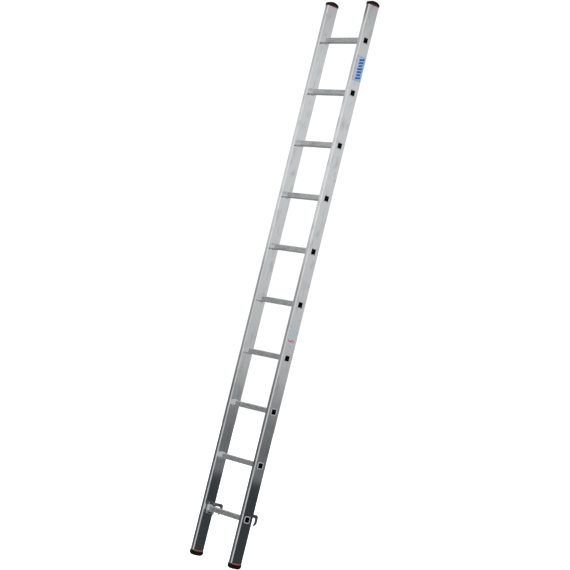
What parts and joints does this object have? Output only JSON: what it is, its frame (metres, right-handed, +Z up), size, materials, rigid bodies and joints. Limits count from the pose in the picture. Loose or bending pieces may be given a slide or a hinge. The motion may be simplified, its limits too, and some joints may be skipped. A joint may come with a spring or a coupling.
{
  "type": "ladder section",
  "caption": "Hook-on section of an extension ladder: box stiles, ribbed square rungs, end caps, and hooks at the lowest rung.",
  "frame": {"origin": "on the floor, midway between the stiles, and midway between the front of the feet and the back of the hooks", "axes": "+X across the ladder towards the right stile, +Y towards the back, where the hooks reach, +Z up along the stiles"},
  "size_m": [0.3696, 0.1216, 2.9845],
  "materials": {
    "stile_aluminium": "extruded, semi-polished",
    "rung_aluminium": "extruded, satin, ribbed",
    "foot_plastic": "moulded, satin",
    "tread_rubber": "moulded, matt",
    "top_plastic": "moulded, satin",
    "cap_rubber": "moulded, matt",
    "hook_steel": "dark zinc plated",
    "rivet_steel": "bright, drawn",
    "label_film": "printed film",
    "sticker_film": "printed film"
  },
  "bodies": {
    "root": {"stile_left": "stile_aluminium", "stile_right": "stile_aluminium", "rung_01": "rung_aluminium", "rung_02": "rung_aluminium", "rung_03": "rung_aluminium", "rung_04": "rung_aluminium", "rung_05": "rung_aluminium", "rung_06": "rung_aluminium", "rung_07": "rung_aluminium", "rung_08": "rung_aluminium", "rung_09": "rung_aluminium", "rung_10": "rung_aluminium", "foot_plug_left": "foot_plastic", "foot_tread_left": "tread_rubber", "top_plug_left": "top_plastic", "top_cap_left": "cap_rubber", "hook_left": "hook_steel", "hook_rivets_left": "rivet_steel", "foot_plug_right": "foot_plastic", "foot_tread_right": "tread_rubber", "top_plug_right": "top_plastic", "top_cap_right": "cap_rubber", "hook_right": "hook_steel", "hook_rivets_right": "rivet_steel", "maker_label": "label_film", "care_sticker": "sticker_film"}
  },
  "joints": []
}
